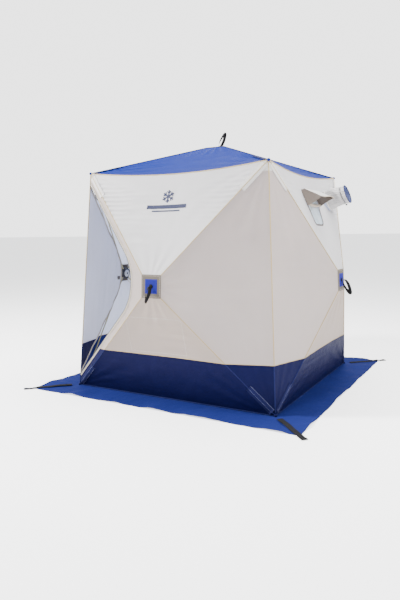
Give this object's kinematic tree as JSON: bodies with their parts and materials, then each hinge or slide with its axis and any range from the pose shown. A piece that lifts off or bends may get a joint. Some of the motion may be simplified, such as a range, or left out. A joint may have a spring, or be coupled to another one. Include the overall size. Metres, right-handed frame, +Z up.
{
  "type": "ice fishing shelter",
  "caption": "Square pop-up ice fishing shelter with bulging hub-and-pole walls and roof, side door, vent window, vent sleeve and ground skirt.",
  "frame": {"origin": "centre of the footprint on the ground, under the roof hub", "axes": "+Z up, the wall with the door faces -Y, the wall with the window faces +X"},
  "size_m": [2.4878, 2.4878, 2.1563],
  "materials": {
    "fabric_white": "matte, coated off-white polyester",
    "fabric_navy": "matte, coated navy polyester",
    "fabric_blue": "matte, coated blue polyester",
    "patch_grey": "matte, heavy grey patch cloth with blue centre",
    "webbing_black": "ribbed black webbing",
    "piping_tan": "piped beige seam tape",
    "corner_rubber": "matte moulded corner joints",
    "fibreglass": "satin olive glass-fibre rod",
    "hub_plastic": "satin moulded nylon",
    "zip_metal": "black painted zinc",
    "clear_film": "clear flexible film",
    "lock_plastic": "black moulded cord lock"
  },
  "bodies": {
    "shell": {"ground_skirt": "fabric_blue", "anchor_straps": "webbing_black", "seam_bindings": "piping_tan", "corner_caps": "corner_rubber"},
    "front_hub_unit": {"front_hub": "hub_plastic", "front_hub_patch": "patch_grey"},
    "front_panel_top": {"front_panel_top": "fabric_white"},
    "front_panel_left": {"front_panel_left": "fabric_white"},
    "front_panel_bottom": {"front_panel_bottom": "fabric_navy"},
    "front_panel_right": {"front_panel_right": "fabric_white"},
    "front_pole_upper_right": {"front_pole_upper_right": "fibreglass"},
    "front_pole_upper_left": {"front_pole_upper_left": "fibreglass"},
    "front_pole_lower_left": {"front_pole_lower_left": "fibreglass"},
    "front_pole_lower_right": {"front_pole_lower_right": "fibreglass"},
    "right_hub_unit": {"right_hub": "hub_plastic", "right_hub_patch": "patch_grey"},
    "right_panel_top": {"right_panel_top": "fabric_white", "window_film": "clear_film", "vent_sleeve": "fabric_white"},
    "right_panel_left": {"right_panel_left": "fabric_white"},
    "right_panel_bottom": {"right_panel_bottom": "fabric_navy"},
    "right_panel_right": {"right_panel_right": "fabric_white"},
    "right_pole_upper_right": {"right_pole_upper_right": "fibreglass"},
    "right_pole_upper_left": {"right_pole_upper_left": "fibreglass"},
    "right_pole_lower_left": {"right_pole_lower_left": "fibreglass"},
    "right_pole_lower_right": {"right_pole_lower_right": "fibreglass"},
    "back_hub_unit": {"back_hub": "hub_plastic", "back_hub_patch": "patch_grey"},
    "back_panel_top": {"back_panel_top": "fabric_white"},
    "back_panel_left": {"back_panel_left": "fabric_white"},
    "back_panel_bottom": {"back_panel_bottom": "fabric_navy"},
    "back_panel_right": {"back_panel_right": "fabric_white"},
    "back_pole_upper_right": {"back_pole_upper_right": "fibreglass"},
    "back_pole_upper_left": {"back_pole_upper_left": "fibreglass"},
    "back_pole_lower_left": {"back_pole_lower_left": "fibreglass"},
    "back_pole_lower_right": {"back_pole_lower_right": "fibreglass"},
    "left_hub_unit": {"left_hub": "hub_plastic", "left_hub_patch": "patch_grey"},
    "left_panel_top": {"left_panel_top": "fabric_white"},
    "left_panel_left": {"left_panel_left": "fabric_white"},
    "left_panel_bottom": {"left_panel_bottom": "fabric_navy"},
    "left_panel_right": {"left_panel_right": "fabric_white"},
    "left_pole_upper_right": {"left_pole_upper_right": "fibreglass"},
    "left_pole_upper_left": {"left_pole_upper_left": "fibreglass"},
    "left_pole_lower_left": {"left_pole_lower_left": "fibreglass"},
    "left_pole_lower_right": {"left_pole_lower_right": "fibreglass"},
    "roof_hub_unit": {"roof_hub": "hub_plastic", "roof_hub_patch": "patch_grey"},
    "roof_panel_back": {"roof_panel_back": "fabric_blue"},
    "roof_panel_left": {"roof_panel_left": "fabric_blue"},
    "roof_panel_front": {"roof_panel_front": "fabric_blue"},
    "roof_panel_right": {"roof_panel_right": "fabric_blue"},
    "roof_pole_back_right": {"roof_pole_back_right": "fibreglass"},
    "roof_pole_back_left": {"roof_pole_back_left": "fibreglass"},
    "roof_pole_front_left": {"roof_pole_front_left": "fibreglass"},
    "roof_pole_front_right": {"roof_pole_front_right": "fibreglass"},
    "door_flap": {"door_flap": "fabric_white"},
    "door_zip_slider": {"door_zip_slider": "zip_metal"},
    "window_visor": {"window_visor": "fabric_white"},
    "sleeve_cord_lock": {"sleeve_cord_lock": "lock_plastic"}
  },
  "joints": [
    {"name": "front_hub_pop", "type": "slide", "parent": "shell", "child": "front_hub_unit", "axis": [0, -0.9983, 0.0588], "range_m": [-0.5, 0]},
    {"name": "front_panel_top_fold", "type": "hinge", "parent": "shell", "child": "front_panel_top", "pos_m": [0.795, -0.795, 1.79], "axis": [-1, 0, 0], "range_deg": [-33.98, 0.01]},
    {"name": "front_panel_left_fold", "type": "hinge", "parent": "shell", "child": "front_panel_left", "pos_m": [-0.795, -0.795, 1.79], "axis": [-0.0587, -0.0587, -0.9965], "range_deg": [-36.24, 0.01]},
    {"name": "front_panel_bottom_fold", "type": "hinge", "parent": "shell", "child": "front_panel_bottom", "pos_m": [-0.9, -0.9, 0.007], "axis": [1, 0, 0], "range_deg": [-34.61, 0.01]},
    {"name": "front_panel_right_fold", "type": "hinge", "parent": "shell", "child": "front_panel_right", "pos_m": [0.9, -0.9, 0.007], "axis": [-0.0587, 0.0587, 0.9965], "range_deg": [-36.24, 0.01]},
    {"name": "front_pole_upper_right_swing", "type": "hinge", "parent": "front_hub_unit", "child": "front_pole_upper_right", "pos_m": [0.02779, -1.069, 0.93512], "axis": [0.7498, -0.0389, -0.6605], "range_deg": [-0.01, 24.34]},
    {"name": "front_pole_upper_left_swing", "type": "hinge", "parent": "front_hub_unit", "child": "front_pole_upper_left", "pos_m": [-0.02779, -1.069, 0.93512], "axis": [0.7498, 0.0389, 0.6605], "range_deg": [-0.01, 24.34]},
    {"name": "front_pole_lower_left_swing", "type": "hinge", "parent": "front_hub_unit", "child": "front_pole_lower_left", "pos_m": [-0.02995, -1.07258, 0.87428], "axis": [-0.7012, 0.0419, 0.7118], "range_deg": [-0.01, 23.17]},
    {"name": "front_pole_lower_right_swing", "type": "hinge", "parent": "front_hub_unit", "child": "front_pole_lower_right", "pos_m": [0.02995, -1.07258, 0.87428], "axis": [-0.7012, -0.0419, -0.7118], "range_deg": [-0.01, 23.17]},
    {"name": "right_hub_pop", "type": "slide", "parent": "shell", "child": "right_hub_unit", "axis": [0.9983, 0, 0.0588], "range_m": [-0.5, 0]},
    {"name": "right_panel_top_fold", "type": "hinge", "parent": "shell", "child": "right_panel_top", "pos_m": [0.795, 0.795, 1.79], "axis": [0, -1, 0], "range_deg": [-33.98, 0.01]},
    {"name": "right_panel_left_fold", "type": "hinge", "parent": "shell", "child": "right_panel_left", "pos_m": [0.795, -0.795, 1.79], "axis": [0.0587, -0.0587, -0.9965], "range_deg": [-36.24, 0.01]},
    {"name": "right_panel_bottom_fold", "type": "hinge", "parent": "shell", "child": "right_panel_bottom", "pos_m": [0.9, -0.9, 0.007], "axis": [0, 1, 0], "range_deg": [-34.61, 0.01]},
    {"name": "right_panel_right_fold", "type": "hinge", "parent": "shell", "child": "right_panel_right", "pos_m": [0.9, 0.9, 0.007], "axis": [-0.0587, -0.0587, 0.9965], "range_deg": [-36.24, 0.01]},
    {"name": "right_pole_upper_right_swing", "type": "hinge", "parent": "right_hub_unit", "child": "right_pole_upper_right", "pos_m": [1.069, 0.02779, 0.93512], "axis": [0.0389, 0.7498, -0.6605], "range_deg": [-0.01, 24.34]},
    {"name": "right_pole_upper_left_swing", "type": "hinge", "parent": "right_hub_unit", "child": "right_pole_upper_left", "pos_m": [1.069, -0.02779, 0.93512], "axis": [-0.0389, 0.7498, 0.6605], "range_deg": [-0.01, 24.34]},
    {"name": "right_pole_lower_left_swing", "type": "hinge", "parent": "right_hub_unit", "child": "right_pole_lower_left", "pos_m": [1.07258, -0.02995, 0.87428], "axis": [-0.0419, -0.7012, 0.7118], "range_deg": [-0.01, 23.17]},
    {"name": "right_pole_lower_right_swing", "type": "hinge", "parent": "right_hub_unit", "child": "right_pole_lower_right", "pos_m": [1.07258, 0.02995, 0.87428], "axis": [0.0419, -0.7012, -0.7118], "range_deg": [-0.01, 23.17]},
    {"name": "back_hub_pop", "type": "slide", "parent": "shell", "child": "back_hub_unit", "axis": [0, 0.9983, 0.0588], "range_m": [-0.5, 0]},
    {"name": "back_panel_top_fold", "type": "hinge", "parent": "shell", "child": "back_panel_top", "pos_m": [-0.795, 0.795, 1.79], "axis": [1, 0, 0], "range_deg": [-33.98, 0.01]},
    {"name": "back_panel_left_fold", "type": "hinge", "parent": "shell", "child": "back_panel_left", "pos_m": [0.795, 0.795, 1.79], "axis": [0.0587, 0.0587, -0.9965], "range_deg": [-36.24, 0.01]},
    {"name": "back_panel_bottom_fold", "type": "hinge", "parent": "shell", "child": "back_panel_bottom", "pos_m": [0.9, 0.9, 0.007], "axis": [-1, 0, 0], "range_deg": [-34.61, 0.01]},
    {"name": "back_panel_right_fold", "type": "hinge", "parent": "shell", "child": "back_panel_right", "pos_m": [-0.9, 0.9, 0.007], "axis": [0.0587, -0.0587, 0.9965], "range_deg": [-36.24, 0.01]},
    {"name": "back_pole_upper_right_swing", "type": "hinge", "parent": "back_hub_unit", "child": "back_pole_upper_right", "pos_m": [-0.02779, 1.069, 0.93512], "axis": [-0.7498, 0.0389, -0.6605], "range_deg": [-0.01, 24.34]},
    {"name": "back_pole_upper_left_swing", "type": "hinge", "parent": "back_hub_unit", "child": "back_pole_upper_left", "pos_m": [0.02779, 1.069, 0.93512], "axis": [-0.7498, -0.0389, 0.6605], "range_deg": [-0.01, 24.34]},
    {"name": "back_pole_lower_left_swing", "type": "hinge", "parent": "back_hub_unit", "child": "back_pole_lower_left", "pos_m": [0.02995, 1.07258, 0.87428], "axis": [0.7012, -0.0419, 0.7118], "range_deg": [-0.01, 23.17]},
    {"name": "back_pole_lower_right_swing", "type": "hinge", "parent": "back_hub_unit", "child": "back_pole_lower_right", "pos_m": [-0.02995, 1.07258, 0.87428], "axis": [0.7012, 0.0419, -0.7118], "range_deg": [-0.01, 23.17]},
    {"name": "left_hub_pop", "type": "slide", "parent": "shell", "child": "left_hub_unit", "axis": [-0.9983, 0, 0.0588], "range_m": [-0.5, 0]},
    {"name": "left_panel_top_fold", "type": "hinge", "parent": "shell", "child": "left_panel_top", "pos_m": [-0.795, -0.795, 1.79], "axis": [0, 1, 0], "range_deg": [-33.98, 0.01]},
    {"name": "left_panel_left_fold", "type": "hinge", "parent": "shell", "child": "left_panel_left", "pos_m": [-0.795, 0.795, 1.79], "axis": [-0.0587, 0.0587, -0.9965], "range_deg": [-36.24, 0.01]},
    {"name": "left_panel_bottom_fold", "type": "hinge", "parent": "shell", "child": "left_panel_bottom", "pos_m": [-0.9, 0.9, 0.007], "axis": [0, -1, 0], "range_deg": [-34.61, 0.01]},
    {"name": "left_panel_right_fold", "type": "hinge", "parent": "shell", "child": "left_panel_right", "pos_m": [-0.9, -0.9, 0.007], "axis": [0.0587, 0.0587, 0.9965], "range_deg": [-36.24, 0.01]},
    {"name": "left_pole_upper_right_swing", "type": "hinge", "parent": "left_hub_unit", "child": "left_pole_upper_right", "pos_m": [-1.069, -0.02779, 0.93512], "axis": [-0.0389, -0.7498, -0.6605], "range_deg": [-0.01, 24.34]},
    {"name": "left_pole_upper_left_swing", "type": "hinge", "parent": "left_hub_unit", "child": "left_pole_upper_left", "pos_m": [-1.069, 0.02779, 0.93512], "axis": [0.0389, -0.7498, 0.6605], "range_deg": [-0.01, 24.34]},
    {"name": "left_pole_lower_left_swing", "type": "hinge", "parent": "left_hub_unit", "child": "left_pole_lower_left", "pos_m": [-1.07258, 0.02995, 0.87428], "axis": [0.0419, 0.7012, 0.7118], "range_deg": [-0.01, 23.17]},
    {"name": "left_pole_lower_right_swing", "type": "hinge", "parent": "left_hub_unit", "child": "left_pole_lower_right", "pos_m": [-1.07258, -0.02995, 0.87428], "axis": [-0.0419, 0.7012, -0.7118], "range_deg": [-0.01, 23.17]},
    {"name": "roof_hub_pop", "type": "slide", "parent": "shell", "child": "roof_hub_unit", "axis": [0, 0, 1], "range_m": [-0.48, 0]},
    {"name": "roof_panel_back_fold", "type": "hinge", "parent": "shell", "child": "roof_panel_back", "pos_m": [0.795, 0.795, 1.79], "axis": [-1, 0, 0], "range_deg": [-37.24, 0.01]},
    {"name": "roof_panel_left_fold", "type": "hinge", "parent": "shell", "child": "roof_panel_left", "pos_m": [-0.795, 0.795, 1.79], "axis": [0, -1, 0], "range_deg": [-37.24, 0.01]},
    {"name": "roof_panel_front_fold", "type": "hinge", "parent": "shell", "child": "roof_panel_front", "pos_m": [-0.795, -0.795, 1.79], "axis": [1, 0, 0], "range_deg": [-37.24, 0.01]},
    {"name": "roof_panel_right_fold", "type": "hinge", "parent": "shell", "child": "roof_panel_right", "pos_m": [0.795, -0.795, 1.79], "axis": [0, 1, 0], "range_deg": [-37.24, 0.01]},
    {"name": "roof_pole_back_right_swing", "type": "hinge", "parent": "roof_hub_unit", "child": "roof_pole_back_right", "pos_m": [0.0297, 0.0297, 2.00327], "axis": [0.7071, -0.7071, 0], "range_deg": [-0.01, 25.02]},
    {"name": "roof_pole_back_left_swing", "type": "hinge", "parent": "roof_hub_unit", "child": "roof_pole_back_left", "pos_m": [-0.0297, 0.0297, 2.00327], "axis": [0.7071, 0.7071, 0], "range_deg": [-0.01, 25.02]},
    {"name": "roof_pole_front_left_swing", "type": "hinge", "parent": "roof_hub_unit", "child": "roof_pole_front_left", "pos_m": [-0.0297, -0.0297, 2.00327], "axis": [-0.7071, 0.7071, 0], "range_deg": [-0.01, 25.02]},
    {"name": "roof_pole_front_right_swing", "type": "hinge", "parent": "roof_hub_unit", "child": "roof_pole_front_right", "pos_m": [0.0297, -0.0297, 2.00327], "axis": [-0.7071, -0.7071, 0], "range_deg": [-0.01, 25.02]},
    {"name": "door_swing", "type": "hinge", "parent": "left_panel_right", "child": "door_flap", "pos_m": [-0.795, -0.795, 1.79], "axis": [-0.0587, -0.0587, -0.9965], "range_deg": [0, 118.03]},
    {"name": "zip_run", "type": "slide", "parent": "front_panel_left", "child": "door_zip_slider", "axis": [0.6423, -0.2666, -0.7186], "range_m": [0, 0.59]},
    {"name": "visor_fold", "type": "hinge", "parent": "right_panel_top", "child": "window_visor", "pos_m": [0.8615, -0.05, 1.62801], "axis": [0, -1, 0], "range_deg": [-44, 0]},
    {"name": "cord_lock_slide", "type": "slide", "parent": "right_panel_top", "child": "sleeve_cord_lock", "axis": [0.3478, 0, -0.9376], "range_m": [0, 0.05]}
  ],
  "couplings": [
    {"joint": "front_panel_top_fold", "follows": "front_hub_pop", "rad_per_m": 1.1857},
    {"joint": "front_panel_left_fold", "follows": "front_hub_pop", "rad_per_m": 1.2647},
    {"joint": "front_panel_bottom_fold", "follows": "front_hub_pop", "rad_per_m": 1.2079},
    {"joint": "front_panel_right_fold", "follows": "front_hub_pop", "rad_per_m": 1.2647},
    {"joint": "front_pole_upper_right_swing", "follows": "front_hub_pop", "rad_per_m": -0.84937},
    {"joint": "front_pole_upper_left_swing", "follows": "front_hub_pop", "rad_per_m": -0.84937},
    {"joint": "front_pole_lower_left_swing", "follows": "front_hub_pop", "rad_per_m": -0.80829},
    {"joint": "front_pole_lower_right_swing", "follows": "front_hub_pop", "rad_per_m": -0.80829},
    {"joint": "right_panel_top_fold", "follows": "right_hub_pop", "rad_per_m": 1.1857},
    {"joint": "right_panel_left_fold", "follows": "right_hub_pop", "rad_per_m": 1.2647},
    {"joint": "right_panel_bottom_fold", "follows": "right_hub_pop", "rad_per_m": 1.2079},
    {"joint": "right_panel_right_fold", "follows": "right_hub_pop", "rad_per_m": 1.2647},
    {"joint": "right_pole_upper_right_swing", "follows": "right_hub_pop", "rad_per_m": -0.84937},
    {"joint": "right_pole_upper_left_swing", "follows": "right_hub_pop", "rad_per_m": -0.84937},
    {"joint": "right_pole_lower_left_swing", "follows": "right_hub_pop", "rad_per_m": -0.80829},
    {"joint": "right_pole_lower_right_swing", "follows": "right_hub_pop", "rad_per_m": -0.80829},
    {"joint": "back_panel_top_fold", "follows": "back_hub_pop", "rad_per_m": 1.1857},
    {"joint": "back_panel_left_fold", "follows": "back_hub_pop", "rad_per_m": 1.2647},
    {"joint": "back_panel_bottom_fold", "follows": "back_hub_pop", "rad_per_m": 1.2079},
    {"joint": "back_panel_right_fold", "follows": "back_hub_pop", "rad_per_m": 1.2647},
    {"joint": "back_pole_upper_right_swing", "follows": "back_hub_pop", "rad_per_m": -0.84937},
    {"joint": "back_pole_upper_left_swing", "follows": "back_hub_pop", "rad_per_m": -0.84937},
    {"joint": "back_pole_lower_left_swing", "follows": "back_hub_pop", "rad_per_m": -0.80829},
    {"joint": "back_pole_lower_right_swing", "follows": "back_hub_pop", "rad_per_m": -0.80829},
    {"joint": "left_panel_top_fold", "follows": "left_hub_pop", "rad_per_m": 1.1857},
    {"joint": "left_panel_left_fold", "follows": "left_hub_pop", "rad_per_m": 1.2647},
    {"joint": "left_panel_bottom_fold", "follows": "left_hub_pop", "rad_per_m": 1.2079},
    {"joint": "left_panel_right_fold", "follows": "left_hub_pop", "rad_per_m": 1.2647},
    {"joint": "left_pole_upper_right_swing", "follows": "left_hub_pop", "rad_per_m": -0.84937},
    {"joint": "left_pole_upper_left_swing", "follows": "left_hub_pop", "rad_per_m": -0.84937},
    {"joint": "left_pole_lower_left_swing", "follows": "left_hub_pop", "rad_per_m": -0.80829},
    {"joint": "left_pole_lower_right_swing", "follows": "left_hub_pop", "rad_per_m": -0.80829},
    {"joint": "roof_panel_back_fold", "follows": "roof_hub_pop", "rad_per_m": 1.3538},
    {"joint": "roof_panel_left_fold", "follows": "roof_hub_pop", "rad_per_m": 1.3538},
    {"joint": "roof_panel_front_fold", "follows": "roof_hub_pop", "rad_per_m": 1.3538},
    {"joint": "roof_panel_right_fold", "follows": "roof_hub_pop", "rad_per_m": 1.3538},
    {"joint": "roof_pole_back_right_swing", "follows": "roof_hub_pop", "rad_per_m": -0.90925},
    {"joint": "roof_pole_back_left_swing", "follows": "roof_hub_pop", "rad_per_m": -0.90925},
    {"joint": "roof_pole_front_left_swing", "follows": "roof_hub_pop", "rad_per_m": -0.90925},
    {"joint": "roof_pole_front_right_swing", "follows": "roof_hub_pop", "rad_per_m": -0.90925}
  ]
}
